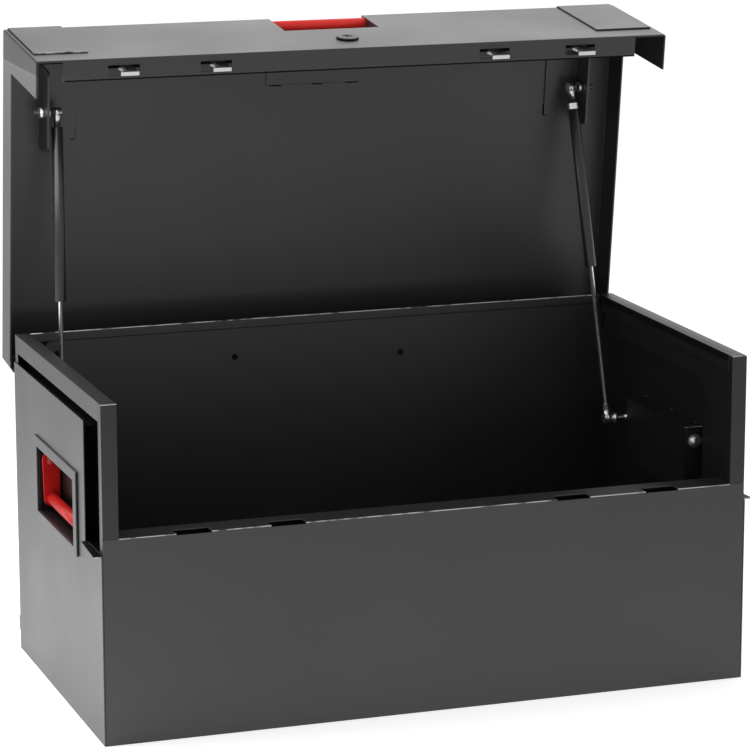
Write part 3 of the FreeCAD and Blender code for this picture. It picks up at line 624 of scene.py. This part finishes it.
# --- Gas struts ---------------------------------------------------------------
# Black enamelled pressure tubes with bright rods and plated end sockets. A plain
# bright band goes around the right one; its ends are measured from the upper ball.
STRUT_BLACK = (0.006, 0.006, 0.006, 1.0)
STRUT_HAZE = (0.016, 0.016, 0.017, 1.0)
STRUT_HAZE_SCALE, STRUT_HAZE_DETAIL = 90.0, 4.0
STRUT_ROUGHNESS = (0.22, 0.38)
UPPER_BALL = (366, -119.9, 421.5)
LOWER_BALL = (389, 135.8, 275)
BAND_START, BAND_END = 0.022, 0.030
BAND_RADIUS = 0.0077
BAND_SEGMENTS = 48


def strut_enamel(name):
    """Smooth black enamel with a faint haze of oil."""
    material, tree, shader, place = start_material(name)
    haze = noise(tree, place, STRUT_HAZE_SCALE, STRUT_HAZE_DETAIL)
    feed(tree, shader.inputs["Base Color"], blended(tree, haze, STRUT_BLACK, STRUT_HAZE))
    feed(tree, shader.inputs["Roughness"], mapped(tree, haze, STRUT_ROUGHNESS))
    return material


strut_black = strut_enamel("strut enamel")
for side, _ in SIDES:
    finish_node(side + "_strut_cylinder", strut_black, fold=0)
    finish_node(side + "_strut_rod", zinc, fold=0)
ball = on_lid(*UPPER_BALL)
foot, = metres(LOWER_BALL)
axis = (foot - ball).normalized()
band = bmesh.new()
add_cylinder(band, ball + axis * (BAND_START + BAND_END) / 2,
             axis.to_track_quat("Z", "Y").to_matrix().to_4x4(), BAND_RADIUS,
             BAND_END - BAND_START, BAND_SEGMENTS)
add_piece("strut_band", band, "right_strut_tube", zinc)


# --- Floor, light and camera --------------------------------------------------
# A pale sweep, two large soft lamps, and a long lens from the front left. The
# paper glows, but darker in front of the box and far behind it.
FLOOR_SIZE = 24.0
PAPER_COLOUR = (0.9, 0.9, 0.9, 1.0)
PAPER_ROUGHNESS = 0.8
WHITE = (1.0, 1.0, 1.0, 1.0)
PAPER_GLOW = 0.5
PAPER_SLANT = (-0.5, 1.0, 0.0)
FRONT_FADE = (-1.8, -0.72)
BACK_FADE = (0.5, 1.5)
BACK_SHARE = 0.6
SKY_STRENGTH = 0.8
SIDE_LAMP_PLACE = (-0.85, 0.25, 0.8)
SIDE_LAMP_SIZE = 0.9
SIDE_LAMP_POWER = 10.0
BACK_LAMP_PLACE = (0.96, 2.75, 2.05)
BACK_LAMP_AIM = (0.0, 0.2, 0.75)
BACK_LAMP_SIZE = 1.6
BACK_LAMP_POWER = 11.0
CAMERA_PLACE = (-1.4459, -4.1513, 1.3664)
CAMERA_AZIMUTH = math.radians(19.193)
CAMERA_DROP = math.radians(12.480)
CAMERA_ROLL = math.radians(-0.039)
CAMERA_LENS = 164.6
CAMERA_SENSOR = 36.0
CAMERA_REACH = (0.1, 100.0)


def add_lamp(name, place, size, power):
    """A square soft lamp that shines straight down until it is turned."""
    light = bpy.data.lights.new(name, "AREA")
    light.shape = "SQUARE"
    light.size = size
    light.energy = power
    lamp = bpy.data.objects.new(name, light)
    lamp.location = place
    bpy.context.scene.collection.objects.link(lamp)
    return lamp


paper, paper_tree, paper_shader, paper_place = start_material("pale paper")
paper_shader.inputs["Base Color"].default_value = PAPER_COLOUR
paper_shader.inputs["Roughness"].default_value = PAPER_ROUGHNESS
paper_shader.inputs["Emission Color"].default_value = WHITE
paper_reach = vector_maths(paper_tree, "DOT_PRODUCT", paper_place, PAPER_SLANT)
paper_axes = paper_tree.nodes.new("ShaderNodeSeparateXYZ")
paper_tree.links.new(paper_place, paper_axes.inputs["Vector"])
front_glow = mapped(paper_tree, paper_reach.outputs["Value"], (0.0, PAPER_GLOW), FRONT_FADE,
                    "SMOOTHSTEP")
back_fading = mapped(paper_tree, paper_axes.outputs["Y"], (1.0, BACK_SHARE), BACK_FADE,
                     "SMOOTHSTEP")
feed(paper_tree, paper_shader.inputs["Emission Strength"],
     maths(paper_tree, "MULTIPLY", front_glow, back_fading))
sweep = bpy.data.meshes.new("studio floor")
sweep_outline = bmesh.new()
bmesh.ops.create_grid(sweep_outline, x_segments=1, y_segments=1, size=FLOOR_SIZE / 2)
sweep_outline.to_mesh(sweep)
sweep_outline.free()
sweep.materials.append(paper)
floor = bpy.data.objects.new("studio floor", sweep)
bpy.context.scene.collection.objects.link(floor)

world = bpy.data.worlds.new("studio")
bpy.context.scene.world = world
world.use_nodes = True
sky = world.node_tree.nodes["Background"]
sky.inputs["Color"].default_value = WHITE
sky.inputs["Strength"].default_value = SKY_STRENGTH
bpy.context.scene.view_settings.view_transform = "Standard"

add_lamp("side softbox", SIDE_LAMP_PLACE, SIDE_LAMP_SIZE, SIDE_LAMP_POWER)
back_lamp = add_lamp("back softbox", BACK_LAMP_PLACE, BACK_LAMP_SIZE, BACK_LAMP_POWER)
away_from_aim = Vector(BACK_LAMP_PLACE) - Vector(BACK_LAMP_AIM)
back_lamp.rotation_euler = away_from_aim.to_track_quat("Z", "Y").to_euler()

lens = bpy.data.cameras.new("camera")
lens.lens = CAMERA_LENS
lens.sensor_width = CAMERA_SENSOR
lens.clip_start, lens.clip_end = CAMERA_REACH
camera = bpy.data.objects.new("camera", lens)
bpy.context.scene.collection.objects.link(camera)
forward = Vector((math.sin(CAMERA_AZIMUTH) * math.cos(CAMERA_DROP),
                  math.cos(CAMERA_AZIMUTH) * math.cos(CAMERA_DROP), -math.sin(CAMERA_DROP)))
right = Vector((math.cos(CAMERA_AZIMUTH), -math.sin(CAMERA_AZIMUTH), 0.0))
above = right.cross(forward)
rolled_right = math.cos(CAMERA_ROLL) * right + math.sin(CAMERA_ROLL) * above
rolled_above = math.cos(CAMERA_ROLL) * above - math.sin(CAMERA_ROLL) * right
turn = Matrix((rolled_right, rolled_above, -forward)).transposed().to_4x4()
camera.matrix_world = Matrix.Translation(CAMERA_PLACE) @ turn
bpy.context.scene.camera = camera
